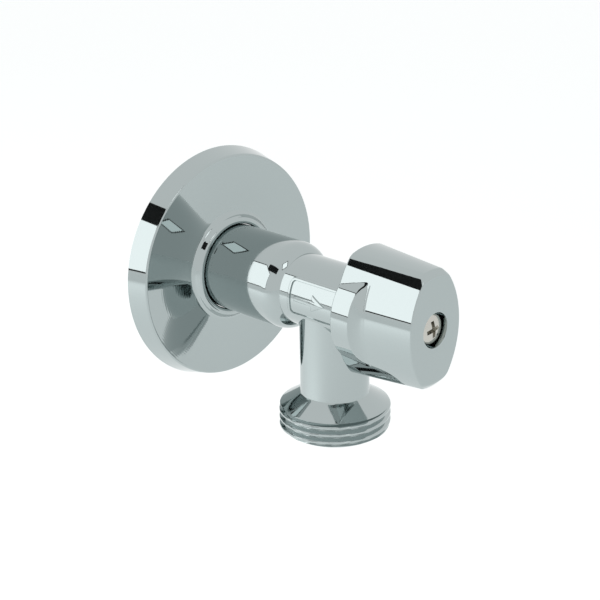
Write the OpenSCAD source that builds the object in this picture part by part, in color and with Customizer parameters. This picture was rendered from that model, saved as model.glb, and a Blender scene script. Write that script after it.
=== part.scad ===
// Angle valve for a washing machine: wall inlet, turned-down hose outlet, oblong handle.
// Frame: the origin is on the inlet axis in the wall plane. -Y points out of the wall
// along the spindle, +Z is up, and the outlet points down.
// "Station" below means a distance out of the wall plane, measured along -Y.

/* [Escutcheon] */
// Outer diameter of the rim where it meets the wall
esc_d = 57.5; // [46:0.5:64]
// Taper of the rim: how much its radius falls from the wall to the front edge
esc_rim_taper = 1.2; // [0.4:0.1:2.4]
// Depth of the rim, from the wall to its front edge
esc_rim_h = 5.1; // [3.5:0.1:8]
// Sheet thickness of the pressing
esc_sheet = 0.8; // [0.5:0.1:1.2]
// How far the middle of the dished face sits behind the rim's front edge
esc_dish = 0.5; // [0.1:0.1:1.2]
// Station of the rolled collar lip
esc_lip_s = 7.0; // [6:0.1:9]
// Width of the rolled collar lip
esc_lip_w = 1.8; // [1.3:0.1:2.6]
// Radius that leads from the face up to the collar
esc_toe_r = 1.5; // [1:0.1:2]
// Radius of the bend between the rim and the face
esc_bend_r = 0.5; // [0.3:0.1:0.7]
// Radial clearance between the hole and the barrel
esc_clear = 0.1; // [0.05:0.05:0.4]

/* [Inlet thread] */
// Major diameter of the inlet thread (G 1/2)
inlet_d = 20.955; // [18:0.005:24]
// Length of the full inlet thread
inlet_len = 16; // [8:0.5:24]
// Station of the inlet thread's front end
inlet_front = 1.2; // [0:0.1:2]
// Chamfer on the inlet thread's free end
inlet_cham = 1.2; // [0.5:0.1:2]
// Width of the thread run-out groove
inlet_relief_w = 1.8; // [1:0.1:2.6]
// Depth of the thread run-out groove
inlet_relief_t = 1.2; // [0.8:0.1:1.6]

/* [Barrel and neck] */
// Barrel diameter, where the escutcheon slides
barrel_d = 21.0; // [20:0.1:23]
// Length of the barrel, from the wall to where it rounds down to the neck
barrel_len = 25.5; // [18:0.1:40]
// Radius of the rounded shoulder
shoulder_r = 5.3; // [3:0.1:6]
// Neck diameter
neck_d = 16.9; // [16.4:0.1:17.4]
// Length of the neck in front of the outlet axis
neck_len = 11.43; // [11:0.01:12]

/* [Outlet] */
// Distance from the end of the barrel to the outlet axis
outlet_gap = 13.57; // [13.2:0.01:15]
// Outside diameter of the outlet pipe
pipe_d = 16.24; // [14.6:0.02:16.8]
// Distance below the inlet axis where the pipe starts to flare
flare_top = 22.95; // [18:0.05:26]
// Height of the flare
flare_h = 2.9; // [1.5:0.1:5]
// Major diameter of the outlet thread (G 3/4)
outlet_d = 26.441; // [24:0.001:30]
// Step in from the outlet thread to the top of the flare's edge
flare_step = 0.35; // [0.1:0.05:0.8]
// Length of the full outlet thread
outlet_len = 5.7; // [4:0.1:12]
// Chamfer on the outlet thread's free end
outlet_cham = 0.85; // [0.4:0.05:1.5]

/* [Water way] */
// Diameter of the inlet water way
way_in_d = 13; // [9:0.1:14.5]
// Diameter of the hole through the seat
seat_hole_d = 8.8; // [7.6:0.1:9.4]
// Outside diameter of the raised seat ring
seat_ring_d = 11.2; // [10.4:0.1:11.6]
// Distance from the seat face to the outlet axis
seat_back = 8.07; // [7.8:0.01:8.4]
// Height of the seat ring above the chamber floor
seat_h = 2; // [1:0.1:2.6]
// Length of the narrow hole behind the chamber floor
seat_hole_len = 3.2; // [2:0.1:5]
// Diameter of the chamber and of the thread that takes the headwork
chamber_d = 14; // [13.4:0.1:14.4]
// Diameter of the outlet water way
way_out_d = 11.2; // [8:0.1:12.4]

/* [Panel on the neck] */
// Length of the raised frame along the neck
panel_l = 15.6; // [10:0.1:17]
// Height of the raised frame
panel_h = 9; // [6:0.1:11]
// Distance from the frame's rear edge to the outlet axis
panel_back = 6.67; // [5.7:0.01:7.5]
// Height of the frame's middle above the axis
panel_z = 1.1; // [0:0.1:2]
// Width of the frame's border
panel_b = 0.7; // [0.5:0.1:1.2]
// How far the frame stands out of the neck
panel_t = 0.3; // [0.2:0.05:0.5]

/* [Headwork] */
// Thickness of the gasket under the headwork's hexagon
gasket_t = 0.4; // [0.3:0.05:0.6]
// Hexagon across its flats
hex_af = 15; // [14:0.1:15.2]
// Thickness of the hexagon
hex_h = 3.3; // [2.6:0.1:3.4]
// Length of the headwork's thread in the neck
head_thread = 5.3; // [4:0.1:5.6]
// Outside diameter of the guide sleeve behind the thread
sleeve_d = 12.4; // [11.8:0.1:13]
// Length of the guide sleeve behind the neck's front face
sleeve_len = 12; // [10.5:0.1:12.5]
// Diameter of the nose in front of the hexagon
nose_d = 11.2; // [10:0.1:12.4]
// Length of the nose in front of the hexagon
nose_len = 3.2; // [2.9:0.1:3.6]
// Clearance per side between the carrier and its guide
guide_clear = 0.05; // [0.03:0.01:0.1]
// Room left in front of the carrier when the valve is open
guide_room = 0.2; // [0.1:0.05:0.25]

/* [Spindle] */
// Stem diameter
stem_d = 7; // [6:0.1:7.6]
// Radial running clearance of the stem in the headwork
stem_clear = 0.05; // [0.02:0.01:0.1]
// Diameter of the thread that lifts the carrier
lift_d = 5.5; // [4.5:0.1:6]
// Radial running clearance of the lifting thread
lift_clear = 0.05; // [0.03:0.01:0.1]
// How far the spindle reaches behind the neck's front face
spindle_tail = 12.5; // [11.9:0.1:12.7]
// Diameter of the thrust collar
collar_d = 8.4; // [8:0.1:8.5]
// Thickness of the thrust collar
collar_t = 1.8; // [1.4:0.1:2]
// Thickness of the thrust washer
thrust_t = 0.6; // [0.4:0.1:0.8]
// How far the shoulder of the thrust washer lies behind the neck's front face
thrust_back = 2.7; // [2.3:0.1:2.9]
// Play at each face of the thrust washer
thrust_play = 0.02; // [0.01:0.01:0.05]
// Section diameter of the spindle's O-rings
oring_d = 1.5; // [1.2:0.1:1.6]
// Width of an O-ring groove
oring_w = 1.8; // [1.7:0.1:2]
// Distance from the thrust shoulder to the middle of the rear groove
oring_gap = 2.35; // [2:0.05:2.6]
// Wall between the two grooves
oring_wall = 1.5; // [1.2:0.1:1.7]
// Thickness of the retaining clip
clip_t = 0.6; // [0.4:0.1:0.7]
// Depth of the retaining clip's groove
clip_depth = 0.7; // [0.5:0.1:0.9]
// Width of the retaining clip's mouth
clip_mouth = 2.8; // [2:0.1:3.4]
// Square that drives the handle, across its flats
square_af = 5.4; // [4.6:0.1:5.8]
// Length of the square
square_len = 5.5; // [4.2:0.1:6]

/* [Seat disc] */
// Diameter of the carrier's disc
disc_d = 12.6; // [12.2:0.1:13]
// Thickness of the carrier's disc
disc_t = 1.6; // [1.2:0.1:1.8]
// Diameter of the carrier's guide stem
carrier_d = 9.7; // [9.3:0.1:9.9]
// Carrier's guide stem across its two flats
carrier_af = 8.5; // [8.5:0.1:8.7]
// Length of the carrier's guide stem in front of its disc
carrier_len = 8; // [7:0.1:8.1]
// How far the carrier moves when the valve opens
lift = 2.5; // [1.5:0.1:2.5]
// Wall of the cup round the seat washer
cup_wall = 0.4; // [0.3:0.05:0.6]
// Thickness of the rubber seat washer
washer_t = 2; // [1.6:0.1:2.2]
// Height of the cup's lip round the seat washer
cup_lip = 1; // [0.6:0.1:1.4]
// Thickness of the plate behind the seat washer
plate_t = 0.5; // [0.4:0.1:0.8]
// Diameter of the plate
plate_d = 6.8; // [6:0.1:7.2]
// Diameter of the small screw that holds the seat washer
small_screw_d = 3; // [2.5:0.1:3]

/* [Handle] */
// How far the handle's skirt laps back over the neck
handle_lap = 1.65; // [1.1:0.05:1.9]
// Length of the handle, from its back edge to its flat front face
handle_len = 20; // [19.5:0.05:22]
// Radius of the end lands at the back edge
land_r_back = 14.95; // [14:0.05:16]
// Radius of the end lands at the front, behind their bevel
land_r_front = 13.65; // [13:0.05:14.5]
// Bevel on the front edge of the end lands
land_bevel = 1.15; // [0.5:0.05:1.6]
// Half width of the grip at the front face
grip_w_front = 8.29; // [7.6:0.01:9]
// Half width of the grip's sides, carried back to the back edge
grip_w_back = 10.37; // [9.8:0.01:10.8]
// Radius of the grip's rounded sides at the front face
grip_side_r = 19.5; // [17:0.1:26]
// Radius of the round skirt
skirt_r = 12.05; // [11.6:0.05:12.6]
// Length of the skirt, up to the scoops
skirt_len = 5.15; // [4.7:0.05:5.8]
// Radius of the scoop between the skirt and the grip
scoop_r = 3.2; // [2:0.1:3.6]
// Turn of the handle round the spindle when the valve is shut
handle_turn = 0; // [-20:1:20]
// Radius of the hollow in the skirt
hollow_r = 9; // [8.9:0.05:9.3]
// Depth of the hollow in the skirt, from the back edge
hollow_h = 5.6; // [5.5:0.1:6]
// Radius of the deeper hollow round the headwork's nose
hollow_r2 = 7.4; // [6.6:0.1:7.6]
// Room between the retaining clip and the handle's hub
hub_room = 0.35; // [0.2:0.05:1]

/* [Handle screw] */
// Radius of the counterbore in the front face
cbore_r = 4; // [3.8:0.05:4.6]
// Depth of the counterbore
cbore_h = 3.35; // [3:0.05:3.6]
// Thread diameter of the screw
screw_d = 4; // [3:0.1:4]
// Length of the screw under its lock washer
screw_len = 8; // [5:0.5:9]
// Depth of the tapped hole beyond the screw's end
tap_room = 1; // [0.5:0.1:2]
// Radius of the pan head
screw_head_r = 3.55; // [3.3:0.05:3.65]
// Height of the pan head
screw_head_h = 2.2; // [1.6:0.1:2.3]
// Rounding of the pan head's edge
screw_round = 0.9; // [0.5:0.1:1.4]
// Depth of the cross recess
recess_h = 1.5; // [1:0.1:1.6]
// Length of the recess's arms, tip to tip
recess_l = 4.4; // [3.4:0.1:5]
// Width of the recess's arms
recess_w = 0.9; // [0.6:0.05:1.2]
// Turn of the cross recess
recess_turn = 10; // [0:1:89]
// Thickness of the lock washer under the head
lock_t = 0.7; // [0.5:0.1:0.8]

/* [Hidden] */
$fn = 96;
eps = 0.01;
barrel_r = barrel_d / 2;
inlet_r = inlet_d / 2;
neck_r = neck_d / 2;
pipe_r = pipe_d / 2;
outlet_r = outlet_d / 2;
chamber_r = chamber_d / 2;
stem_r = stem_d / 2;
inlet_rear = inlet_front - inlet_len;
thread_top = -(flare_top + flare_h);
outlet_end = thread_top - outlet_len - outlet_cham;
outlet_s = barrel_len + outlet_gap;
neck_front = outlet_s + neck_len;
seat_s = outlet_s - seat_back;
panel_s = outlet_s - panel_back;
sleeve_rear = neck_front - sleeve_len;
spindle_rear = neck_front - spindle_tail;
thrust_s = neck_front - thrust_back;
// The shoulder's arc ends where it has come in to the neck's radius.
shoulder_a = acos(1 - (barrel_r - neck_r) / shoulder_r);
gasket_front = neck_front + gasket_t;
hex_front = gasket_front + hex_h;
nose_front = hex_front + nose_len;
bore_r = stem_r + stem_clear;
guide_r = carrier_d / 2 + guide_clear;
guide_af = carrier_af + 2 * guide_clear;
collar_front = thrust_s - thrust_t - thrust_play;
collar_rear = collar_front - collar_t;
oring_mid = bore_r - 0.01 - oring_d / 2;
groove_r = oring_mid - oring_d / 2;
ring_rear_s = thrust_s + oring_gap;
ring_front_s = ring_rear_s + oring_w + oring_wall;
clip_s = nose_front + 0.05;
clip_groove_r = stem_r - clip_depth;
hub_s = clip_s + clip_t + hub_room;
spindle_front = hub_s + square_len;
screw_r = screw_d / 2;
disc_rear = seat_s + washer_t;
washer_r = disc_d / 2 - cup_wall;
carrier_front = disc_rear + disc_t + carrier_len;
guide_front = carrier_front + lift + guide_room;
handle_back = neck_front - handle_lap;
handle_front = handle_back + handle_len;
skirt_front = handle_back + skirt_len;
lock_s = handle_front - cbore_h;
head_s = lock_s + lock_t;
grip_off = grip_side_r - grip_w_front;
side_slope = (grip_w_back - grip_w_front) / (handle_front - handle_back);
scoop_s = skirt_front + scoop_r;
scoop_side = grip_side_r + side_slope * (handle_front - scoop_s);

// Turns a child that is drawn upwards so that it points out of the wall.
module out() rotate([90, 0, 0]) children();

// A disc or tube on the inlet axis, from station a to station b.
module rod(r, a, b) out() translate([0, 0, a]) cylinder(r = r, h = b - a);

module ring(r, hole, a, b) difference() {
    rod(r, a, b);
    rod(hole, a - 1, b + 1);
}

// A turned shape from points [radius, station].
module turned(points) out() rotate_extrude(convexity = 6) polygon(points);

// Points of an arc round [r, s], for the turned shapes.
function arc(r, s, rad, from, to, n = 8) =
    [for (i = [0 : n]) let (a = from + (to - from) * i / n)
        [r + rad * cos(a), s + rad * sin(a)]];

// A parabola of height dip between two points, seen from outside as a shallow dish.
function dish(r1, s1, r2, s2, dip, n = 10) =
    [for (i = [1 : n - 1]) let (t = i / n)
        [r1 + (r2 - r1) * t, s1 + (s2 - s1) * t - dip * 4 * t * (1 - t)]];

// Pressed cover plate: a nearly straight rim, a shallow dish and a rolled collar.
module escutcheon() color([0.80, 0.82, 0.82]) {
    rim = esc_d / 2;
    edge = rim - esc_rim_taper;
    hole = barrel_r + esc_clear;
    lip_r = esc_lip_w / 2;
    lip_c = hole + lip_r;
    t = esc_sheet;
    toe = lip_c + lip_r + esc_toe_r + 0.1;
    bend = edge - esc_bend_r;
    turned(concat(
        [[rim, 0]],
        arc(bend, esc_rim_h - esc_bend_r, esc_bend_r, 12, 90, 5),
        dish(bend, esc_rim_h, toe, esc_rim_h, esc_dish),
        arc(toe, esc_rim_h + esc_toe_r, esc_toe_r, 268, 200, 5),
        arc(lip_c, esc_lip_s - lip_r, lip_r, 25, 180, 10),
        [[hole, esc_rim_h - t]],
        [[toe, esc_rim_h - t - esc_dish * 0.3]],
        [[(toe + edge) / 2, esc_rim_h - t - esc_dish]],
        [[bend - t, esc_rim_h - t], [rim - t, 0]]));
}

// Cast and turned body: inlet thread, barrel, neck, outlet branch and seat.
module valve_body() color([0.78, 0.80, 0.80]) difference() {
    union() {
        turned(concat(
            [[0, inlet_rear - inlet_cham],
             [inlet_r - inlet_cham, inlet_rear - inlet_cham],
             [inlet_r, inlet_rear], [inlet_r, inlet_front],
             [inlet_r - inlet_relief_t, inlet_front + 0.4],
             [inlet_r - inlet_relief_t, inlet_front + inlet_relief_w - 0.3],
             [barrel_r, inlet_front + inlet_relief_w]],
            arc(barrel_r - shoulder_r, barrel_len, shoulder_r, 0, shoulder_a, 12),
            [[neck_r, neck_front], [0, neck_front]]));
        outlet_branch();
        neck_panel();
    }
    rod(way_in_d / 2, inlet_rear - inlet_cham - 1, seat_s - seat_h - seat_hole_len);
    rod(seat_hole_d / 2, 0, seat_s + 1);
    ring(chamber_r, seat_ring_d / 2, seat_s - seat_h, seat_s + eps);
    rod(chamber_r, seat_s, neck_front + 1);
    translate([0, -outlet_s, outlet_end - 1])
        cylinder(r = way_out_d / 2, h = -outlet_end + 1);
}

module outlet_branch() translate([0, -outlet_s, 0]) {
    translate([0, 0, -flare_top]) cylinder(r = pipe_r, h = flare_top);
    rotate_extrude() polygon([
        [0, -flare_top], [pipe_r, -flare_top],
        [outlet_r - flare_step, thread_top + 0.1], [outlet_r - flare_step, thread_top],
        [outlet_r, thread_top - 0.3],
        [outlet_r, outlet_end + outlet_cham],
        [outlet_r - outlet_cham, outlet_end], [0, outlet_end]]);
}

// Raised frame on the left of the neck, plain inside but for a flow arrow.
module neck_panel() intersection() {
    difference() {
        rod(neck_r + panel_t, panel_s - 1, panel_s + panel_l + 1);
        rod(neck_r - 1, panel_s - 2, panel_s + panel_l + 2);
    }
    translate([-neck_r - 2, -panel_s - panel_l / 2, panel_z]) rotate([0, 90, 0])
        linear_extrude(6) {
            difference() {
                rounded(panel_h, panel_l, 1.4);
                rounded(panel_h - 2 * panel_b, panel_l - 2 * panel_b, 0.8);
            }
            translate([0, panel_l * 0.07]) flow_arrow(panel_l * 0.6, panel_h * 0.42);
        }
}

// Arrow that points out of the wall, the way that the water flows.
module flow_arrow(l, w) polygon([
    [-w * 0.16, l / 2], [w * 0.16, l / 2], [w * 0.16, -l * 0.08],
    [w / 2, -l * 0.08], [0, -l / 2], [-w / 2, -l * 0.08], [-w * 0.16, -l * 0.08]]);

// A rectangle with rounded corners, x by y.
module rounded(x, y, r) {
    square([x - 2 * r, y], center = true);
    square([x, y - 2 * r], center = true);
    for (i = [-1, 1], j = [-1, 1])
        translate([i * (x / 2 - r), j * (y / 2 - r)]) circle(r = r, $fn = 24);
}

module headwork_gasket() color([0.20, 0.20, 0.21])
    ring(neck_r - 0.15, chamber_r, neck_front, gasket_front);

// Double-D section, round with two flats.
module double_d(r, af, a, b) intersection() {
    rod(r, a, b);
    translate([-r - 1, -b - 1, -af / 2]) cube([2 * r + 2, b - a + 2, af]);
}

// Screwed-in headwork: guide sleeve, thread, hexagon and nose.
module headwork() color([0.76, 0.66, 0.38]) difference() {
    union() {
        rod(sleeve_d / 2, sleeve_rear, neck_front);
        rod(chamber_r, neck_front - head_thread, gasket_front);
        out() translate([0, 0, gasket_front])
            cylinder(r = hex_af / sqrt(3), h = hex_h, $fn = 6);
        rod(nose_d / 2, gasket_front, nose_front);
    }
    double_d(guide_r, guide_af, sleeve_rear - 1, guide_front);
    rod(collar_d / 2 + 0.05, sleeve_rear, thrust_s);
    rod(bore_r, thrust_s - 1, nose_front + 1);
}

// Spindle that turns without rising and drives the carrier by its rear thread.
module spindle() color([0.76, 0.66, 0.38]) difference() {
    union() {
        rod(lift_d / 2, spindle_rear, collar_rear + eps);
        rod(collar_d / 2, collar_rear, collar_front);
        rod(stem_r, collar_front - eps, hub_s - 0.05);
        intersection() {
            rod(stem_r, hub_s - 0.1, spindle_front);
            translate([-square_af / 2, -spindle_front - 1, -square_af / 2])
                cube([square_af, spindle_front - hub_s + 2, square_af]);
        }
    }
    for (s = [ring_rear_s, ring_front_s])
        ring(stem_r + 1, groove_r, s - oring_w / 2, s + oring_w / 2);
    ring(stem_r + 1, clip_groove_r, clip_s, clip_s + clip_t);
    rod(screw_r, lock_s - screw_len - tap_room, spindle_front + 1);
}

module spindle_o_ring(s) color([0.10, 0.10, 0.11])
    out() translate([0, 0, s]) rotate_extrude()
        translate([oring_mid, 0]) circle(r = oring_d / 2 - 0.01, $fn = 32);

module spindle_o_ring_rear() spindle_o_ring(ring_rear_s);

module spindle_o_ring_front() spindle_o_ring(ring_front_s);

module thrust_washer() color([0.92, 0.92, 0.90])
    ring(collar_d / 2, stem_r, collar_front, thrust_s - thrust_play);

// Open clip that stops the spindle from sliding back.
module retaining_clip() color([0.55, 0.57, 0.58]) difference() {
    ring(stem_r + 1.1, clip_groove_r, clip_s, clip_s + clip_t);
    translate([-clip_mouth / 2, -clip_s - clip_t - 1, -stem_r - 3])
        cube([clip_mouth, clip_t + 2, stem_r + 3 - clip_groove_r * 0.6]);
}

// Carrier of the seat washer: it slides in the headwork and cannot turn.
module carrier() color([0.76, 0.66, 0.38]) difference() {
    union() {
        rod(disc_d / 2, disc_rear - cup_lip, disc_rear + disc_t);
        double_d(carrier_d / 2, carrier_af, disc_rear + disc_t - eps, carrier_front);
    }
    rod(washer_r, disc_rear - cup_lip - 1, disc_rear);
    rod(small_screw_d / 2, disc_rear - 1, disc_rear + disc_t + 0.4);
    rod(lift_d / 2 + lift_clear, disc_rear + disc_t + 0.6, carrier_front + 1);
}

module seat_washer() color([0.12, 0.12, 0.13])
    ring(washer_r, small_screw_d / 2, seat_s, disc_rear);

module seat_washer_plate() color([0.80, 0.80, 0.78])
    ring(plate_d / 2, small_screw_d / 2, seat_s - plate_t, seat_s);

module seat_washer_screw() color([0.70, 0.62, 0.40]) difference() {
    union() {
        rod(plate_d / 2 - 0.6, seat_s - plate_t - 1.5, seat_s - plate_t);
        rod(small_screw_d / 2, seat_s - plate_t - eps, disc_rear + disc_t + 0.3);
    }
    translate([-4, -(seat_s - plate_t - 0.8), -0.35]) cube([8, 2, 0.7]);
}

// Handle casting: an oblong grip with round side faces, scooped down from a round skirt.
module handle() color([0.82, 0.84, 0.84]) out() rotate([0, 0, handle_turn])
    difference() {
        union() {
            handle_lands();
            handle_skirt();
        }
        translate([0, 0, handle_back - 1]) cylinder(r = hollow_r, h = hollow_h + 1);
        translate([0, 0, handle_back]) cylinder(r = hollow_r2, h = hub_s - handle_back);
        translate([-square_af / 2, -square_af / 2, hub_s - 1])
            cube([square_af, square_af, spindle_front - hub_s + 1]);
        translate([0, 0, hub_s]) cylinder(r = screw_r + 0.1, h = 20);
        translate([0, 0, lock_s]) cylinder(r = cbore_r, h = cbore_h + 1);
    }

// End lands: a tapering turned blank with a bevelled front edge, cut by both sides.
module handle_lands() intersection() {
    rotate_extrude() polygon([
        [0, handle_back], [land_r_back, handle_back],
        [land_r_front, handle_front - land_bevel],
        [land_r_front - land_bevel, handle_front], [0, handle_front]]);
    grip_side(1, false);
    grip_side(-1, false);
}

module handle_skirt() intersection() {
    translate([0, 0, handle_back]) cylinder(r = skirt_r, h = scoop_s - handle_back);
    grip_side(1, true);
    grip_side(-1, true);
}

// One rounded side of the grip, turned about an axis on the other side of the spindle.
module grip_side(side, scooped) translate([side * grip_off, 0, 0])
    rotate_extrude() polygon(scooped
        ? concat(
            [[0, handle_back - 1], [scoop_side + 12, handle_back - 1],
             [scoop_side + 12, skirt_front]],
            arc(scoop_side + scoop_r, scoop_s, scoop_r, 270, 180, 10),
            [[grip_side_r, handle_front], [0, handle_front]])
        : [[0, handle_back - 1],
           [grip_side_r + side_slope * (handle_front - handle_back + 1), handle_back - 1],
           [grip_side_r - side_slope, handle_front + 1], [0, handle_front + 1]]);

module lock_washer() color([0.60, 0.62, 0.62])
    ring(screw_head_r, screw_r, lock_s, head_s);

// Pan-head screw with a cross recess.
module handle_screw() color([0.72, 0.72, 0.68]) difference() {
    union() {
        rod(screw_r, lock_s - screw_len, head_s + eps);
        turned(concat(
            [[0, head_s], [screw_head_r, head_s]],
            arc(screw_head_r - screw_round, head_s + screw_head_h - screw_round,
                screw_round, 0, 90, 6),
            [[0, head_s + screw_head_h]]));
    }
    out() translate([0, 0, head_s + screw_head_h - recess_h])
        for (a = [0, 90]) rotate([0, 0, recess_turn + a])
            translate([-recess_l / 2, -recess_w / 2, 0])
                cube([recess_l, recess_w, recess_h + 1]);
}

escutcheon();
valve_body();
headwork_gasket();
headwork();
spindle();
spindle_o_ring_rear();
spindle_o_ring_front();
thrust_washer();
retaining_clip();
carrier();
seat_washer();
seat_washer_plate();
seat_washer_screw();
handle();
lock_washer();
handle_screw();
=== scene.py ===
"""A chromed angle valve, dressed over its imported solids.

Sizes are in millimetres and in the solids' frame: the origin is on the inlet axis in the
wall plane, -Y points out of the wall, +Z is up. A station is a distance out of the wall.
"""

import logging
import math
from dataclasses import dataclass, field
from enum import Enum
from typing import Callable, Sequence

import bmesh
import bpy
from mathutils import Matrix, Vector


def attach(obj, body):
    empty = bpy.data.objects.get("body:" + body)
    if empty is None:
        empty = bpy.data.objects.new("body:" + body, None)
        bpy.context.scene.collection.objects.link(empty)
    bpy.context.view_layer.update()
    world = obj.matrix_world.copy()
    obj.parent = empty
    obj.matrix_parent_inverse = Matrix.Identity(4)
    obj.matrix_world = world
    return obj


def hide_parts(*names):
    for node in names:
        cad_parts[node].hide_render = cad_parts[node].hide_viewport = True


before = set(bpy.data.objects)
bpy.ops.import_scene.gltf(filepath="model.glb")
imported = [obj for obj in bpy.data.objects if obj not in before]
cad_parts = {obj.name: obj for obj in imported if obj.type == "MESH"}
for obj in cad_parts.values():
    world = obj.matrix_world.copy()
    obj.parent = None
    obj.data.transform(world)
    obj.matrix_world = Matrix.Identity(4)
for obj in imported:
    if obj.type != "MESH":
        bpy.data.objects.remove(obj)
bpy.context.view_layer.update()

LOG = logging.getLogger("angle_valve")
MM = 0.001
MERGE = 0.002
Point = tuple[float, float]
Place = Callable[[int, int], Vector]


class Combine(Enum):
    """How one closed mesh is put together with another."""

    JOIN = "UNION"
    CUT = "DIFFERENCE"


class Along(Enum):
    """The axis that a turned shape is turned about."""

    OUT_OF_WALL = "out"
    DOWN = "down"


# Profiles and small formulas


def arc(centre: Point, radius: float, start: float, end: float, steps: int) -> list[Point]:
    """Points on a round stretch of a profile.

    Args:
        centre: The arc's centre, as radius and station.
        radius: The arc's radius.
        start: First angle in degrees, from the direction of growing radius.
        end: Last angle in degrees.
        steps: How many straight pieces stand for the arc.

    Returns:
        The points, first and last included.
    """
    turns = [math.radians(start + (end - start) * i / steps) for i in range(steps + 1)]
    return [(centre[0] + radius * math.cos(a), centre[1] + radius * math.sin(a)) for a in turns]


def held(points: Sequence[Point], near: float = 0.06) -> list[Point]:
    """Adds a point close to each end of every long straight stretch.

    Mirror-bright flats stay flat next to a rounded edge only if they are held there.

    Args:
        points: The profile.
        near: How close to the ends the added points lie.

    Returns:
        The profile with the added points.
    """
    out = [points[0]]
    for (ra, sa), (rb, sb) in zip(points, points[1:]):
        length = math.hypot(rb - ra, sb - sa)
        if length > 6 * near:
            t = near / length
            out += [(ra + (rb - ra) * u, sa + (sb - sa) * u) for u in (t, 1 - t)]
        out.append((rb, sb))
    return out


def least(a: float, b: float, width: float) -> float:
    """The lesser of two values, with the corner between them rounded over a width."""
    near = max(width - abs(a - b), 0.0)
    return min(a, b) - near * near / (4 * width)


def most(a: float, b: float, width: float) -> float:
    """The greater of two values, with the corner between them rounded over a width."""
    return -least(-a, -b, width)


def on_axis(radius: float, angle: float, station: float) -> Vector:
    """A point round the inlet axis, from its radius, its angle and its station."""
    return Vector((radius * math.cos(angle), -station, radius * math.sin(angle)))


# Mesh tools


def turned(profile: Sequence[Point], columns: int, along: Along = Along.OUT_OF_WALL,
           station: float = 0.0) -> bmesh.types.BMesh:
    """Spins a closed profile into a closed mesh.

    Args:
        profile: Points as radius and station, or radius and height for a shape turned
            about a line that points down.
        columns: Steps of the spin.
        along: The axis of the spin.
        station: Where an axis that points down stands out of the wall.

    Returns:
        The mesh, in millimetres.
    """
    bm = bmesh.new()
    loop = []
    for r, s in profile:
        place = (r, -s, 0) if along is Along.OUT_OF_WALL else (r, -station, s)
        loop.append(bm.verts.new(place))
    edges = [bm.edges.new(pair) for pair in zip(loop, loop[1:])]
    if profile[0][0] > MERGE or profile[-1][0] > MERGE:
        edges.append(bm.edges.new((loop[-1], loop[0])))
    centre = (0, 0, 0) if along is Along.OUT_OF_WALL else (0, -station, 0)
    axis = (0, 1, 0) if along is Along.OUT_OF_WALL else (0, 0, 1)
    bmesh.ops.spin(bm, geom=loop + edges, cent=centre, axis=axis, angle=math.tau,
                   steps=columns, use_merge=True, use_duplicate=False)
    return sealed(bm)


def wrapped(columns: int, rows: int, place: Place) -> bmesh.types.BMesh:
    """Wraps a flat grid round a shape, and seals its seam and its poles.

    Args:
        columns: Faces round the shape.
        rows: Faces along it.
        place: Gives the place of a grid point from its column and its row.

    Returns:
        The mesh, in millimetres.
    """
    bm = bmesh.new()
    bmesh.ops.create_grid(bm, x_segments=columns, y_segments=rows, size=1)
    for v in bm.verts:
        v.co = place(round((v.co.x + 1) / 2 * columns), round((v.co.y + 1) / 2 * rows))
    return sealed(bm)


def sealed(bm: bmesh.types.BMesh) -> bmesh.types.BMesh:
    """Merges doubles, drops faces of no size and points the rest outwards."""
    bmesh.ops.remove_doubles(bm, verts=bm.verts, dist=MERGE)
    bmesh.ops.dissolve_degenerate(bm, edges=bm.edges, dist=MERGE / 4)
    bmesh.ops.recalc_face_normals(bm, faces=bm.faces)
    return bm


def as_object(bm: bmesh.types.BMesh, name: str) -> bpy.types.Object:
    """Makes an object at the origin from a mesh in millimetres.

    Args:
        bm: The mesh. It is freed.
        name: The piece's name.

    Returns:
        The object, in metres.
    """
    bmesh.ops.scale(bm, vec=(MM, MM, MM), verts=bm.verts)
    mesh = bpy.data.meshes.new(name)
    bm.to_mesh(mesh)
    bm.free()
    obj = bpy.data.objects.new(name, mesh)
    bpy.context.scene.collection.objects.link(obj)
    return obj


def combined(base: bpy.types.Object, tool: bpy.types.Object, how: Combine) -> None:
    """Joins a closed mesh to another or cuts it out, and removes the tool.

    Args:
        base: The object that is changed.
        tool: The object that is joined or cut out.
        how: Join or cut.
    """
    step = base.modifiers.new("combine", "BOOLEAN")
    step.operation = how.value
    step.solver = "EXACT"
    step.object = tool
    graph = bpy.context.evaluated_depsgraph_get()
    mesh = bpy.data.meshes.new_from_object(base.evaluated_get(graph))
    bm = bmesh.new()
    bm.from_mesh(mesh)
    bmesh.ops.remove_doubles(bm, verts=bm.verts, dist=MERGE * MM)
    bmesh.ops.dissolve_degenerate(bm, edges=bm.edges, dist=MERGE * MM)
    bmesh.ops.triangulate(bm, faces=[f for f in bm.faces if len(f.verts) > 4])
    bmesh.ops.recalc_face_normals(bm, faces=bm.faces)
    bm.to_mesh(mesh)
    bm.free()
    base.modifiers.clear()
    base.data = mesh
    bpy.data.objects.remove(tool)


def smoothed(obj: bpy.types.Object, sharp: float = 32.0) -> bpy.types.Object:
    """Shades a mesh smooth except where its faces meet at more than an angle."""
    obj.data.polygons.foreach_set("use_smooth", [True] * len(obj.data.polygons))
    obj.data.set_sharp_from_angle(angle=math.radians(sharp))
    return obj


# Finishes


def group_socket(group: bpy.types.NodeTree, name: str, kind: str, inward: bool,
                 value: float | None = None) -> None:
    """Adds one named socket to a node group.

    Args:
        group: The node group.
        name: The socket's name.
        kind: The socket's type name.
        inward: True for an input.
        value: An input's default.
    """
    side = "INPUT" if inward else "OUTPUT"
    made = group.interface.new_socket(name, in_out=side, socket_type=kind)
    if value is not None:
        made.default_value = value


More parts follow.
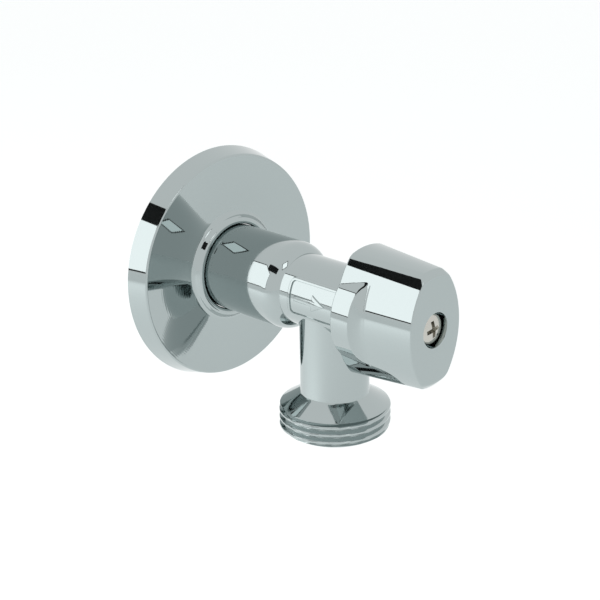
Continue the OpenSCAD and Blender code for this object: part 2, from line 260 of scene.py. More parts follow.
def polish_group() -> bpy.types.NodeTree:
    """The marks that polishing leaves: slow waves and a fine, uneven haze.

    Returns:
        A group with Wave Size, Haze Size, Base Roughness and Haze as inputs, and
        with Roughness and Height as outputs.
    """
    group = bpy.data.node_groups.new("polish_marks", "ShaderNodeTree")
    for name, value in (("Wave Size", 60.0), ("Haze Size", 900.0), ("Base Roughness", 0.05),
                        ("Haze", 0.05)):
        group_socket(group, name, "NodeSocketFloat", True, value)
    group_socket(group, "Roughness", "NodeSocketFloat", False)
    group_socket(group, "Height", "NodeSocketFloat", False)
    nodes, link = group.nodes, group.links.new
    inlet, outlet = nodes.new("NodeGroupInput"), nodes.new("NodeGroupOutput")
    place = nodes.new("ShaderNodeTexCoord")
    waves, haze = nodes.new("ShaderNodeTexNoise"), nodes.new("ShaderNodeTexNoise")
    waves.inputs["Detail"].default_value = 1.0
    haze.inputs["Detail"].default_value = 4.0
    spread = nodes.new("ShaderNodeMath")
    spread.operation = "MULTIPLY_ADD"
    for noise, size in ((waves, "Wave Size"), (haze, "Haze Size")):
        link(place.outputs["Object"], noise.inputs["Vector"])
        link(inlet.outputs[size], noise.inputs["Scale"])
    link(haze.outputs["Fac"], spread.inputs[0])
    link(inlet.outputs["Haze"], spread.inputs[1])
    link(inlet.outputs["Base Roughness"], spread.inputs[2])
    link(spread.outputs[0], outlet.inputs["Roughness"])
    link(waves.outputs["Fac"], outlet.inputs["Height"])
    return group


@dataclass(frozen=True)
class Chrome:
    """Bright chrome plate.

    Attributes:
        name: The material's name.
        colour: Linear reflectance.
        roughness: Least roughness.
        haze: How much the haze adds to it.
        wave_size: Scale of the slow waves, in waves per metre.
        wave_height: Depth of the waves, in millimetres.
    """

    name: str
    colour: tuple[float, float, float] = (0.41, 0.46, 0.46)
    roughness: float = 0.02
    haze: float = 0.03
    wave_size: float = 120.0
    wave_height: float = 0.004

    def material(self, polish: bpy.types.NodeTree) -> bpy.types.Material:
        """Builds the material.

        Args:
            polish: The shared group of polishing marks.

        Returns:
            The material.
        """
        made, shader = plain_material(self.name, self.colour, self.roughness, 1.0)
        nodes, link = made.node_tree.nodes, made.node_tree.links.new
        marks, bump = nodes.new("ShaderNodeGroup"), nodes.new("ShaderNodeBump")
        marks.node_tree = polish
        marks.inputs["Wave Size"].default_value = self.wave_size
        marks.inputs["Base Roughness"].default_value = self.roughness
        marks.inputs["Haze"].default_value = self.haze
        bump.inputs["Distance"].default_value = self.wave_height * MM
        link(marks.outputs["Height"], bump.inputs["Height"])
        link(marks.outputs["Roughness"], shader.inputs["Roughness"])
        link(bump.outputs["Normal"], shader.inputs["Normal"])
        return made


@dataclass(frozen=True)
class InnerFinish:
    """The finish of a piece that the casting or the handle hides.

    Attributes:
        name: The material's name.
        colour: Linear base colour.
        roughness: Least roughness.
        metallic: 1 for metal.
        haze: How much the uneven haze adds to the roughness.
        grain: Scale of the haze, in waves per metre.
        depth: Depth of the slow waves, in millimetres.
    """

    name: str
    colour: tuple[float, float, float]
    roughness: float
    metallic: float = 1.0
    haze: float = 0.15
    grain: float = 1500.0
    depth: float = 0.01

    def material(self, polish: bpy.types.NodeTree) -> bpy.types.Material:
        """Builds the material.

        Args:
            polish: The shared group of polishing marks.

        Returns:
            The material.
        """
        made, shader = plain_material(self.name, self.colour, self.roughness, self.metallic)
        nodes, link = made.node_tree.nodes, made.node_tree.links.new
        marks, bump = nodes.new("ShaderNodeGroup"), nodes.new("ShaderNodeBump")
        marks.node_tree = polish
        marks.inputs["Wave Size"].default_value = self.grain / 3
        marks.inputs["Haze Size"].default_value = self.grain
        marks.inputs["Base Roughness"].default_value = self.roughness
        marks.inputs["Haze"].default_value = self.haze
        bump.inputs["Distance"].default_value = self.depth * MM
        link(marks.outputs["Height"], bump.inputs["Height"])
        link(marks.outputs["Roughness"], shader.inputs["Roughness"])
        link(bump.outputs["Normal"], shader.inputs["Normal"])
        return made


def plain_material(name: str, colour: Sequence[float], roughness: float,
                   metallic: float) -> tuple[bpy.types.Material, bpy.types.Node]:
    """Starts a material on one Principled shader.

    Args:
        name: The material's name.
        colour: Linear base colour.
        roughness: The roughness.
        metallic: 1 for metal.

    Returns:
        The material and its shader node.
    """
    made = bpy.data.materials.new(name)
    made.use_nodes = True
    shader = made.node_tree.nodes["Principled BSDF"]
    shader.inputs["Base Color"].default_value = (*colour, 1.0)
    shader.inputs["Roughness"].default_value = roughness
    shader.inputs["Metallic"].default_value = metallic
    return made, shader


def dress(obj: bpy.types.Object, material: bpy.types.Material) -> None:
    """Puts one material on every slot of an object."""
    if not obj.data.materials:
        obj.data.materials.append(material)
    for i in range(len(obj.data.materials)):
        obj.data.materials[i] = material


# Sub-assemblies


@dataclass
class Escutcheon:
    """The pressed cover plate."""

    rim_r: float = 28.75
    edge_r: float = 27.55
    rim_h: float = 5.1
    sheet: float = 0.8
    dish: float = 0.5
    hole_r: float = 10.6
    lip_s: float = 7.0
    lip_w: float = 1.8
    toe_r: float = 1.5
    bend_r: float = 0.5
    columns: int = 288

    def face(self, start: Point, end: Point, dip: float, steps: int) -> list[Point]:
        """The dished face between two points, without them."""
        out = []
        for i in range(1, steps):
            t = i / steps
            out.append((start[0] + (end[0] - start[0]) * t,
                        start[1] + (end[1] - start[1]) * t - dip * 4 * t * (1 - t)))
        return out

    def build(self) -> bpy.types.Object:
        """Turns the plate.

        Returns:
            The piece.
        """
        lip_r = self.lip_w / 2
        lip_c = self.hole_r + lip_r
        toe = lip_c + lip_r + self.toe_r + 0.1
        bend = self.edge_r - self.bend_r
        inner = self.rim_h - self.sheet
        front = arc((bend, self.rim_h - self.bend_r), self.bend_r, 12, 90, 10)
        front += self.face((bend, self.rim_h), (toe, self.rim_h), self.dish, 24)
        front += arc((toe, self.rim_h + self.toe_r), self.toe_r, 268, 200, 10)
        front += arc((lip_c, self.lip_s - lip_r), lip_r, 25, 180, 20)
        rear = [(self.hole_r, inner), (toe, inner - self.dish * 0.3)]
        rear += self.face((toe, inner), (bend - self.sheet, inner), self.dish, 12)
        rear += [(bend - self.sheet, inner), (self.rim_r - self.sheet, 0)]
        profile = held([(self.rim_r, 0)] + front + rear)
        piece = smoothed(as_object(turned(profile, self.columns), "escutcheon_plate"))
        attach(piece, "cover")
        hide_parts("escutcheon")
        return piece


@dataclass
class PipeThread:
    """A parallel pipe thread with rounded crests and roots.

    Attributes:
        radius: The radius over the crests.
        pitch: The pitch.
        share: Depth of the ridges as a share of the pitch.
    """

    radius: float
    pitch: float = 1.814
    share: float = 0.62

    def reach(self, turn: float, along: float, fade: float = 1.0) -> float:
        """The thread's radius at a point.

        Args:
            turn: The angle in radians.
            along: The distance along the axis.
            fade: 1 for the full ridge, 0 for none.

        Returns:
            The radius.
        """
        phase = (along / self.pitch - turn / math.tau) % 1.0
        rise = 0.5 - 0.5 * math.cos(math.tau * phase)
        sharper = rise ** 0.8
        return self.radius - self.pitch * self.share * (1 - sharper) * fade


@dataclass
class ValveBody:
    """The cast and turned body: inlet, barrel, neck, outlet branch and panel."""

    inlet: PipeThread = field(default_factory=lambda: PipeThread(10.4775))
    outlet: PipeThread = field(default_factory=lambda: PipeThread(13.2205))
    inlet_rear: float = -14.8
    inlet_front: float = 1.2
    inlet_end: float = -16.0
    relief_r: float = 9.28
    relief_w: float = 1.8
    barrel_r: float = 10.5
    barrel_len: float = 25.5
    shoulder_r: float = 5.3
    neck_r: float = 8.45
    neck_front: float = 50.5
    outlet_s: float = 39.07
    pipe_r: float = 8.12
    flare_top: float = -22.95
    thread_top: float = -25.85
    thread_end: float = -31.55
    outlet_end: float = -32.4
    flare_step: float = 0.35
    fillet: float = 0.9
    way_in_r: float = 6.5
    seat_hole_r: float = 4.4
    chamber_r: float = 7.0
    way_out_r: float = 5.6
    seat_s: float = 31.0
    columns: int = 224

    def barrel(self) -> bmesh.types.BMesh:
        """The solid inlet thread, barrel and neck.

        Returns:
            The mesh.
        """
        turn = math.degrees(math.acos(1 - (self.barrel_r - self.neck_r) / self.shoulder_r))
        relief = self.inlet_front + self.relief_w
        after = [(self.relief_r, self.inlet_front + 0.4), (self.relief_r, relief - 0.3),
                 (self.barrel_r - 0.1, relief), (self.barrel_r, relief + 0.1)]
        after += arc((self.barrel_r - self.shoulder_r, self.barrel_len), self.shoulder_r,
                     0, turn, 24)
        after += [(self.neck_r, self.neck_front - 0.2),
                  (self.neck_r - 0.2, self.neck_front), (0, self.neck_front)]
        after = held(after)
        steps = 150
        first = [(0.0, self.inlet_end), (self.inlet.radius - 1.4, self.inlet_end)]
        rows = len(first) + steps + 1 + len(after)

        def place(column: int, row: int) -> Vector:
            """Wraps the grid, with the thread's ridges between its two plain parts."""
            angle = math.tau * column / self.columns
            if row < len(first):
                return on_axis(first[row][0], angle, first[row][1])
            if row <= len(first) + steps:
                t = (row - len(first)) / steps
                s = self.inlet_end + (self.inlet_front - self.inlet_end) * t
                cone = self.inlet.radius - max(0.0, 1.2 - (s - self.inlet_end))
                reach = min(self.inlet.reach(angle, s), cone)
                runout = min(1.0, (self.inlet_front - s) / 0.6)
                return on_axis(self.relief_r + (reach - self.relief_r) * runout, angle, s)
            r, s = after[row - len(first) - steps - 1]
            return on_axis(r, angle, s)

        return wrapped(self.columns, rows - 1, place)

    def branch(self) -> bmesh.types.BMesh:
        """The solid outlet pipe, its flare and its thread, blended into the neck.

        Returns:
            The mesh.
        """
        foot = [(0.0, self.outlet_end), (self.outlet.radius - 1.7, self.outlet_end)]
        steps, blend = 72, 14
        flare = held([(self.outlet.radius - self.flare_step, self.thread_top),
                      (self.outlet.radius - self.flare_step - 0.15, self.thread_top + 0.12),
                      (self.pipe_r + 0.25, self.flare_top - 0.15),
                      (self.pipe_r + 0.06, self.flare_top), (self.pipe_r, self.flare_top + 0.25)])
        rows = len(foot) + steps + 1 + len(flare) + blend + 3

        def place(column: int, row: int) -> Vector:
            """Wraps the grid from the foot up to where the pipe meets the neck."""
            angle = math.tau * column / self.columns
            side = Vector((math.cos(angle), math.sin(angle), 0))
            base = Vector((0, -self.outlet_s, 0))
            if row < len(foot):
                return base + side * foot[row][0] + Vector((0, 0, foot[row][1]))
            row -= len(foot)
            if row <= steps:
                z = self.outlet_end + (self.thread_top - self.outlet_end) * row / steps
                cone = self.outlet.radius - 0.1 - max(0.0, 1.5 - (z - self.outlet_end) * 1.4)
                r = min(self.outlet.reach(angle, z), cone)
                top = max(0.0, 1 - (self.thread_top - z) / 0.35)
                r = min(r, self.outlet.radius - self.flare_step * top)
                return base + side * r + Vector((0, 0, z))
            row -= steps + 1
            if row < len(flare):
                return base + side * flare[row][0] + Vector((0, 0, flare[row][1]))
            row -= len(flare)
            ball = base + side * (self.pipe_r + self.fillet)
            ball.z = -math.sqrt(max((self.neck_r + self.fillet) ** 2 - ball.x ** 2, 0.01))
            to_pipe = -side
            to_neck = Vector((-ball.x, 0, -ball.z)).normalized()
            if row <= blend:
                return ball + to_pipe.slerp(to_neck, row / blend) * self.fillet
            inside = ball + to_neck * (self.fillet + 0.6)
            return inside if row == blend + 1 else base

        return wrapped(self.columns, rows - 1, place)

    def ways(self) -> list[bmesh.types.BMesh]:
        """The water ways that are cut out: inlet, seat hole and chamber, and outlet.

        Returns:
            Two closed meshes.
        """
        floor = self.seat_s - 2
        through = [(0, self.inlet_end - 1), (self.way_in_r, self.inlet_end - 1),
                   (self.way_in_r, floor - 3.2), (self.seat_hole_r, floor - 3.2),
                   (self.seat_hole_r, self.seat_s), (5.6, self.seat_s), (5.6, floor),
                   (self.chamber_r, floor), (self.chamber_r, self.neck_front + 1),
                   (0, self.neck_front + 1)]
        down = [(0, self.outlet_end - 1), (self.way_out_r, self.outlet_end - 1),
                (self.way_out_r, -4.5), (0, -4.5)]
        return [turned(through, 96), turned(down, 96, Along.DOWN, self.outlet_s)]

    def build(self) -> bpy.types.Object:
        """Puts the casting together.

        Returns:
            The piece.
        """
        piece = as_object(self.barrel(), "valve_casting")
        combined(piece, as_object(self.branch(), "branch"), Combine.JOIN)
        for way in self.ways():
            combined(piece, as_object(way, "way"), Combine.CUT)
        smoothed(piece)
        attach(piece, "valve")
        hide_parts("valve_body")
        return piece


@dataclass
class NeckPanel:
    """The raised frame on the neck's left side, with a flow arrow in it."""

    neck_r: float = 8.45
    rear_s: float = 32.4
    length: float = 15.6
    height: float = 9.0
    middle_z: float = 1.1
    border: float = 0.7
    stands: float = 0.3
    corner: float = 1.4

    def on_neck(self, s: float, z: float, lift: float) -> Vector:
        """A point over the neck's surface.

        Args:
            s: The station.
            z: The height.
            lift: How far it stands out of the neck.

        Returns:
            The point.
        """
        r = self.neck_r + lift
        return Vector((-math.sqrt(r * r - z * z), -s, z))

    def edge(self, inset: float, count: int) -> list[Point]:
        """A rounded rectangle, evenly sampled.

        Args:
            inset: How far inside the frame's outer edge it runs.
            count: How many points.

        Returns:
            Points as station and height.
        """
        a, b = self.length / 2 - inset, self.height / 2 - inset
        r = max(self.corner - inset, 0.15)
        mid_s = self.rear_s + self.length / 2
        corners = []
        for sx, sz, start in ((1, 1, 0), (-1, 1, 90), (-1, -1, 180), (1, -1, 270)):
            corners.append(arc((mid_s + sx * (a - r), self.middle_z + sz * (b - r)), r,
                               start, start + 90, count // 8))
        out = []
        for i, corner in enumerate(corners):
            out += corner
            nxt = corners[(i + 1) % 4][0]
            last = corner[-1]
            straight = count // 4 - count // 8 - 1
            for k in range(1, straight + 1):
                t = k / (straight + 1)
                out.append((last[0] + (nxt[0] - last[0]) * t, last[1] + (nxt[1] - last[1]) * t))
        return out

    def build(self) -> list[bpy.types.Object]:
        """Builds the frame and the arrow.

        Returns:
            The two pieces.
        """
        count = 160
        section = [(0.0, -0.4), (0.0, self.stands - 0.12), (0.06, self.stands - 0.02),
                   (0.16, self.stands), (self.border - 0.16, self.stands),
                   (self.border - 0.06, self.stands - 0.02),
                   (self.border, self.stands - 0.12), (self.border, -0.4), (0.0, -0.4)]
        loops = [self.edge(inset, count) for inset, _ in section]

        def place(column: int, row: int) -> Vector:
            """Wraps the frame's section round its edge."""
            s, z = loops[row][column % len(loops[row])]
            return self.on_neck(s, z, section[row][1])

        rim = smoothed(as_object(wrapped(len(loops[0]), len(section) - 1, place), "panel_frame"))
        pieces = [rim, self.arrow()]
        for piece in pieces:
            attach(piece, "valve")
            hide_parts("valve_body")
        return pieces

    def arrow(self) -> bpy.types.Object:
        """The flow arrow, cast with the frame.

        Returns:
            The piece.
        """
        length, width = self.length * 0.6, self.height * 0.42
        mid_s = self.rear_s + self.length * 0.43
        step = width / 12
        outline = [(-0.5, -0.16), (0.08, -0.16), (0.08, -0.5), (0.5, 0.0),
                   (0.08, 0.5), (0.08, 0.16), (-0.5, 0.16)]
        bm = bmesh.new()
        verts = [bm.verts.new((mid_s + length * u, self.middle_z + width * v, -0.4))
                 for u, v in outline]
        face = bm.faces.new(verts)
        top = bmesh.ops.extrude_face_region(bm, geom=[face])["geom"]
        lifted = [g for g in top if isinstance(g, bmesh.types.BMVert)]
        bmesh.ops.translate(bm, vec=(0, 0, 0.4 + self.stands), verts=lifted)
        cap = [e for e in bm.edges if all(v in lifted for v in e.verts)]
        bmesh.ops.bevel(bm, geom=cap, offset=0.14, segments=3, profile=0.5, affect="EDGES",
                        material=-1)
        for i in range(1, 12):
            z = self.middle_z - width / 2 + step * (i + 0.03)
            bmesh.ops.bisect_plane(bm, geom=bm.verts[:] + bm.edges[:] + bm.faces[:],
                                   plane_co=(0, z, 0), plane_no=(0, 1, 0))
        for v in bm.verts:
            v.co = self.on_neck(v.co.x, v.co.y, v.co.z)
        return smoothed(as_object(sealed(bm), "flow_arrow"))


@dataclass
class Handle:
    """The handle casting: a tapering grip with rounded sides, scooped from its skirt."""

    back: float = 48.85
    front: float = 68.85
    land_back: float = 14.95
    land_front: float = 13.65
    bevel: float = 1.15
    grip_front: float = 8.29
    grip_back: float = 10.37
    side_r: float = 19.5
    skirt_r: float = 12.05
    skirt_front: float = 54.0
    scoop_r: float = 3.2
    ridge: float = 0.6
    edge_r: float = 0.28
    cbore_r: float = 4.0
    cbore_h: float = 3.35
    hollow_r: float = 9.0
    hollow_h: float = 5.6
    inner_r: float = 7.4
    hub_s: float = 58.4
    square: float = 5.4
    square_end: float = 63.9
    screw_r: float = 2.1

    def slope(self) -> float:
        """How much the sides widen for each millimetre towards the wall."""
        return (self.grip_back - self.grip_front) / (self.front - self.back)

    def side(self, angle: float, radius: float) -> float:
        """The distance from the axis to a rounded side.

        Args:
            angle: The angle round the spindle.
            radius: The side's radius about its own axis.

        Returns:
            The distance.
        """
        off = self.side_r - self.grip_front
        c, s = abs(math.cos(angle)), math.sin(angle)
        return -off * c + math.sqrt(radius * radius - off * off * s * s)

    def land(self, s: float) -> float:
        """The radius of the end lands at a station, with their front bevel."""
        start = self.front - self.bevel
        taper = (self.land_back - self.land_front) / (start - self.back)
        plain = self.land_front + taper * (start - s)
        cut = self.land_front - self.bevel + (self.front - s) * 1.05
        return least(plain, cut, 0.22)

    def reach(self, angle: float, s: float, scoop: float | None) -> float:
        """The handle's outline at a station.

        Args:
            angle: The angle round the spindle.
            s: The station.
            scoop: The scooped side's radius, or None where the skirt is whole.

        Returns:
            The distance from the axis.
        """
        radius = self.side_r + self.slope() * (self.front - s)
        grip = least(self.land(s), self.side(angle, radius), self.ridge)
        if scoop is None:
            return most(grip, self.skirt_r, 0.25)
        if scoop <= radius:
            return grip
        return most(grip, least(self.skirt_r, self.side(angle, scoop), 0.5), 0.25)

    def rows(self) -> list[tuple[float, Callable[[float], float]]]:
        """The handle's skin as rings, from the back edge over the front to the inside.

        Returns:
            For each ring its station, and the function that gives its radius.
        """
        rings: list[tuple[float, Callable[[float], float]]] = []

        def add(s: float, scoop: float | None, drop: float = 0.0) -> None:
            """Adds an outer ring."""
            rings.append((s, lambda a: self.reach(a, s, scoop) - drop))

        def plain(s: float, r: float) -> None:
            """Adds a round ring."""
            rings.append((s, lambda a: r))

        edge = self.edge_r
        for i in range(7):
            t = math.radians(90 * i / 6)
            add(self.back + edge - edge * math.cos(t), None, edge * (1 - math.sin(t)))
        for s in (self.back + edge + 0.06, 51.0, 53.0, 53.7, self.skirt_front - 0.08):
            add(s, None)
        scoop_s = self.skirt_front + self.scoop_r
        scoop_side = self.side_r + self.slope() * (self.front - scoop_s)
        for i in range(36, -1, -1):
            t = math.radians(90 * i / 36)
            add(scoop_s - self.scoop_r * math.sin(t),
                scoop_side + self.scoop_r * (1 - math.cos(t)))
        start = self.front - self.bevel
        for s in (scoop_s + 0.1, 59.0, 61.0, 63.0, 65.0, 66.6, start - 0.4):
            add(s, 0.0)
        last = self.front - edge
        for i in range(14):
            add(start - 0.3 + (last - start + 0.3) * i / 14, 0.0)
        for i in range(8):
            t = math.radians(90 * i / 7)
            add(last + edge * math.sin(t), 0.0, edge * (1 - math.cos(t)))
        rim = self.cbore_r + 0.18

        def face(share: float) -> Callable[[float], float]:
            """A ring on the flat front, a share of the way in to the counterbore."""
            def ring(a: float) -> float:
                """The ring's radius."""
                outer = self.reach(a, self.front, 0.0) - edge
                return outer + (rim - outer) * share
            return ring

        for share in (0.02, 0.5, 0.98, 1.0):
            rings.append((self.front, face(share)))
        floor = self.front - self.cbore_h
        for s, r in ((self.front - 0.05, self.cbore_r + 0.05), (self.front - 0.18, self.cbore_r),
                     (self.front - 0.3, self.cbore_r), (floor, self.cbore_r),
                     (floor, self.screw_r), (self.square_end, self.screw_r)):
            plain(s, r)
        half = self.square / 2
        for s in (self.square_end, self.hub_s):
            rings.append((s, lambda a: half / max(abs(math.cos(a)), abs(math.sin(a)))))
        hollow = self.back + self.hollow_h
        for s, r in ((self.hub_s, self.inner_r), (hollow, self.inner_r),
                     (hollow, self.hollow_r), (self.back, self.hollow_r)):
            plain(s, r)
        rings.append(rings[0])
        return rings

    def angles(self) -> list[float]:
        """The columns' angles, closer together at the ridges and the skirt's sides."""
        spans = ((0, 38, 14), (38, 56, 14), (56, 66, 6), (66, 80, 22), (80, 90, 6))
        quarter = [a + (b - a) * i / n for a, b, n in spans for i in range(n)]
        out: list[float] = []
        for start in (0, 90, 180, 270):
            mirrored = start in (90, 270)
            part = [90 - a for a in reversed(quarter[1:] + [90])] if mirrored else quarter
            out += [math.radians(start + a) for a in part]
        return out + [math.tau]

    def build(self) -> bpy.types.Object:
        """Wraps the handle's skin.

        Returns:
            The piece.
        """
        rings, angles = self.rows(), self.angles()

        def place(column: int, row: int) -> Vector:
            """A point of the skin."""
            s, radius = rings[row]
            a = angles[column]
            return on_axis(radius(a), a, s)

        bm = wrapped(len(angles) - 1, len(rings) - 1, place)
        piece = smoothed(as_object(bm, "handle_casting"))
        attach(piece, "control")
        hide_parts("handle")
        return piece


@dataclass
class HandleScrew:
    """The pan-head screw with its cross recess."""

    head_s: float = 66.2
    head_r: float = 3.55
    head_h: float = 2.2
    shank_r: float = 2.0
    end_s: float = 57.5
    recess_l: float = 4.4
    recess_w: float = 0.95
    recess_h: float = 1.5
    turn: float = 10.0

    def slot_cut(self, quarter: float) -> bmesh.types.BMesh:
        """One tapering slot of the cross.

        Args:
            quarter: Its turn against the first slot, in degrees.

        Returns:
            The mesh.
        """
        top = self.head_s + self.head_h + 0.5
        bm = bmesh.new()
        bmesh.ops.create_cube(bm, size=1)
        for v in bm.verts:
            deep = v.co.z < 0
            v.co.x *= self.recess_l * (0.55 if deep else 1.12)
            v.co.y *= self.recess_w * (0.7 if deep else 1.15)
            v.co.z = top - self.recess_h - 0.5 if deep else top
        spin = Matrix.Rotation(math.radians(quarter + self.turn), 3, "Z")
        bmesh.ops.rotate(bm, cent=(0, 0, 0), matrix=spin, verts=bm.verts)
        for v in bm.verts:
            v.co = Vector((v.co.x, -v.co.z, v.co.y))
        bmesh.ops.recalc_face_normals(bm, faces=bm.faces)
        return bm

    def build(self) -> bpy.types.Object:
        """Turns the screw and cuts its recess.

        Returns:
            The piece.
        """
        front = self.head_s + self.head_h
        dome = arc((0, front - 9.0), 9.0, 90, 71.5, 8)
        edge = arc((self.head_r - 0.7, front - 1.2), 0.7, 60, 0, 8)
        profile = [(0, self.end_s), (self.shank_r - 0.4, self.end_s),
                   (self.shank_r, self.end_s + 0.4), (self.shank_r, self.head_s),
                   (self.head_r, self.head_s)]
        profile += list(reversed(edge)) + list(reversed(dome))
        piece = as_object(turned(profile, 128), "cross_screw")
        for quarter in (0.0, 90.0):
            combined(piece, as_object(self.slot_cut(quarter), "slot"), Combine.CUT)
        smoothed(piece)
        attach(piece, "control")
        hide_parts("handle_screw")
        return piece


@dataclass
class Insides:
    """The pieces that the casting and the handle hide, each with its own finish."""

    brass: InnerFinish = InnerFinish("bare_brass", (0.60, 0.44, 0.16), 0.22)
    steel: InnerFinish = InnerFinish("steel", (0.50, 0.52, 0.52), 0.26)
    rubber: InnerFinish = InnerFinish("black_rubber", (0.012, 0.012, 0.013), 0.55, 0.0)
    plastic: InnerFinish = InnerFinish("white_plastic", (0.80, 0.80, 0.77), 0.35, 0.0)
    fibre: InnerFinish = InnerFinish("fibre", (0.03, 0.03, 0.032), 0.7, 0.0)

    def dress(self, polish: bpy.types.NodeTree) -> None:
        """Gives every hidden solid its finish.

        Args:
            polish: The shared group of polishing marks.
        """
        worn_by = {
            self.brass: ("headwork", "spindle", "carrier"),
            self.steel: ("retaining_clip", "lock_washer", "seat_washer_plate",
                         "seat_washer_screw"),
            self.rubber: ("spindle_o_ring_rear", "spindle_o_ring_front", "seat_washer"),
            self.plastic: ("thrust_washer",),
            self.fibre: ("headwork_gasket",),
        }
        for finish, nodes in worn_by.items():
            made = finish.material(polish)
            for node in nodes:
                dress(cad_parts[node], made)
                LOG.info("%s: %s", node, finish.name)


# Studio


@dataclass
class Studio:
    """Camera, floor, backdrop, lamps and cards."""

    camera_at: tuple[float, float, float] = (-0.22083, -0.24563, 0.11380)
    azimuth: float = -45.42
    elevation: float = 20.70
    roll: float = -0.854
    lens: float = 84.582
    floor_z: float = -0.13
    box_far: float = 0.6
    box_frame: float = 0.02

    def camera(self) -> None:
        """Places the camera at the photograph's viewing angle."""
        az, el, ro = (math.radians(x) for x in (self.azimuth, self.elevation, self.roll))
        back = Vector((math.sin(az) * math.cos(el), -math.cos(az) * math.cos(el), math.sin(el)))
        right = Vector((math.cos(az), math.sin(az), 0))
        up = back.cross(right)
        x = right * math.cos(ro) + up * math.sin(ro)
        y = up * math.cos(ro) - right * math.sin(ro)
        data = bpy.data.cameras.new("camera")
        data.lens = self.lens
        data.sensor_width = 36.0
        data.clip_start = 0.01
        data.clip_end = 20.0
        cam = bpy.data.objects.new("camera", data)
        bpy.context.scene.collection.objects.link(cam)
        turn = Matrix((x, y, back)).transposed()
        cam.matrix_world = Matrix.Translation(self.camera_at) @ turn.to_4x4()
        bpy.context.scene.camera = cam

    def world(self) -> None:
        """A pale room, white to the camera and to reflections."""
        world = bpy.data.worlds.new("room")
        world.use_nodes = True
        nodes, link = world.node_tree.nodes, world.node_tree.links.new
        out = next(n for n in nodes if n.type == "OUTPUT_WORLD")
        room, seen = nodes["Background"], nodes.new("ShaderNodeBackground")
        room.inputs["Color"].default_value = (0.80, 0.84, 0.84, 1)
        room.inputs["Strength"].default_value = 0.5
        seen.inputs["Color"].default_value = (1, 1, 1, 1)
        rays, either, both = (nodes.new(k) for k in
                              ("ShaderNodeLightPath", "ShaderNodeMath", "ShaderNodeMath"))
        either.operation = both.operation = "MAXIMUM"
        link(rays.outputs["Is Camera Ray"], either.inputs[0])
        link(rays.outputs["Is Glossy Ray"], either.inputs[1])
        link(either.outputs[0], both.inputs[0])
        link(rays.outputs["Is Transmission Ray"], both.inputs[1])
        mix = nodes.new("ShaderNodeMixShader")
        link(both.outputs[0], mix.inputs[0])
        link(room.outputs[0], mix.inputs[1])
        link(seen.outputs[0], mix.inputs[2])
        link(mix.outputs[0], out.inputs["Surface"])
        bpy.context.scene.world = world

    def lamp(self, name: str, at: Vector, aim: Vector, size: Point, power: float) -> None:
        """Adds one soft lamp.

        Args:
            name: The lamp's name.
            at: Where it stands, in metres.
            aim: What it points at, in metres.
            size: Its width and height, in metres.
            power: Its power in watts.
        """
        data = bpy.data.lights.new(name, "AREA")
        data.shape = "RECTANGLE"
        data.size, data.size_y = size
        data.energy = power
        obj = bpy.data.objects.new(name, data)
        bpy.context.scene.collection.objects.link(obj)
        obj.location = at
        obj.rotation_euler = (aim - at).to_track_quat("-Z", "Y").to_euler()
        obj.visible_camera = False

    def softbox(self, name: str, aim: Vector, azimuth: float, elevation: float,
                size: Point, power: float) -> None:
        """Adds a soft lamp with the dark frame that shows as a thin line round it.

        Args:
            name: The lamp's name.
            aim: What it points at, in metres.
            azimuth: Its direction from there, in degrees about +Z from +X.
            elevation: Its height over the horizon, in degrees.
            size: Its width and height, in metres.
            power: Its power in watts.
        """
        az, el = math.radians(azimuth), math.radians(elevation)
        way = Vector((math.cos(az) * math.cos(el), math.sin(az) * math.cos(el), math.sin(el)))
        self.lamp(name, aim + way * self.box_far, aim, size, power)
        wide = (size[0] + 2 * self.box_frame, size[1] + 2 * self.box_frame)
        self.card(name + "_frame", aim, azimuth, elevation, wide)

    def card(self, name: str, aim: Vector, azimuth: float, elevation: float,
             size: Point) -> None:
        """Hangs a dark card that only reflections show.

        Args:
            name: The card's name.
            aim: What it faces, in metres.
            azimuth: Its direction from there, in degrees about +Z from +X.
            elevation: Its height over the horizon, in degrees.
            size: Its width and height, in metres.
        """
        az, el = math.radians(azimuth), math.radians(elevation)
        way = Vector((math.cos(az) * math.cos(el), math.sin(az) * math.cos(el), math.sin(el)))
        bm = bmesh.new()
        bmesh.ops.create_grid(bm, x_segments=1, y_segments=1, size=0.5)
        bmesh.ops.scale(bm, vec=(size[0] / MM, size[1] / MM, 1), verts=bm.verts)
        turn = (-way).to_track_quat("-Z", "Y").to_matrix()
        bmesh.ops.rotate(bm, cent=(0, 0, 0), matrix=turn, verts=bm.verts)
        place = aim + way * (self.box_far + 0.01)
        bmesh.ops.translate(bm, vec=place / MM, verts=bm.verts)
        card = as_object(bm, name)
        made, _ = plain_material(name, (0.01, 0.01, 0.01), 0.9, 0.0)
        dress(card, made)
        card.visible_camera = card.visible_shadow = card.visible_diffuse = False

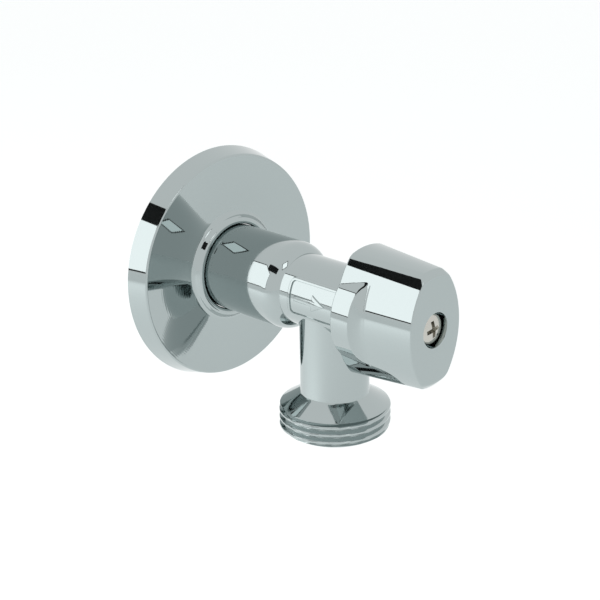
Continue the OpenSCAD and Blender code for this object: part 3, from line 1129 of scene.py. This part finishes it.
    def floor(self) -> None:
        """A plain pale floor that keeps the object's shadow."""
        bm = bmesh.new()
        bmesh.ops.create_grid(bm, x_segments=1, y_segments=1, size=1500)
        bmesh.ops.translate(bm, vec=(0, 0, self.floor_z / MM), verts=bm.verts)
        obj = as_object(bm, "floor")
        made, shader = plain_material("pale_floor", (0.82, 0.83, 0.83), 0.9, 0.0)
        nodes, link = made.node_tree.nodes, made.node_tree.links.new
        rays, either = nodes.new("ShaderNodeLightPath"), nodes.new("ShaderNodeMath")
        either.operation = "MAXIMUM"
        link(rays.outputs["Is Camera Ray"], either.inputs[0])
        link(rays.outputs["Is Glossy Ray"], either.inputs[1])
        glow = nodes.new("ShaderNodeMath")
        glow.operation = "MULTIPLY"
        glow.inputs[1].default_value = 0.6
        link(either.outputs[0], glow.inputs[0])
        shader.inputs["Emission Color"].default_value = (1, 1, 1, 1)
        link(glow.outputs[0], shader.inputs["Emission Strength"])
        dress(obj, made)

    def build(self) -> None:
        """Sets up the whole studio."""
        self.camera()
        self.world()
        self.floor()
        aim = Vector((0, -0.035, -0.005))
        self.softbox("left_box", aim, 140.0, 18.0, (0.60, 0.42), 1.5)
        self.softbox("front_box", aim, -112.0, 50.0, (0.16, 0.16), 0.16)
        self.card("high_card", aim, 176.0, 47.0, (0.62, 0.16))
        bpy.context.scene.view_settings.view_transform = "Standard"


def main() -> None:
    """Builds every piece, dresses it and sets up the studio."""
    logging.basicConfig(level=logging.INFO, format="%(message)s")
    polish = polish_group()
    plate = Chrome("polished_chrome", roughness=0.02).material(polish)
    cast = Chrome("cast_chrome", roughness=0.04, wave_height=0.008).material(polish)
    bright = Chrome("handle_chrome", roughness=0.01).material(polish)
    screw = Chrome("screw_steel", colour=(0.55, 0.54, 0.50), roughness=0.16).material(polish)
    for piece, finish in ((Escutcheon().build(), plate), (ValveBody().build(), cast),
                          *((p, cast) for p in NeckPanel().build()),
                          (Handle().build(), bright), (HandleScrew().build(), screw)):
        dress(piece, finish)
        LOG.info("%s: %d faces", piece.name, len(piece.data.polygons))
    Insides().dress(polish)
    Studio().build()


if __name__ == "__main__":
    main()
    bpy.context.view_layer.update()
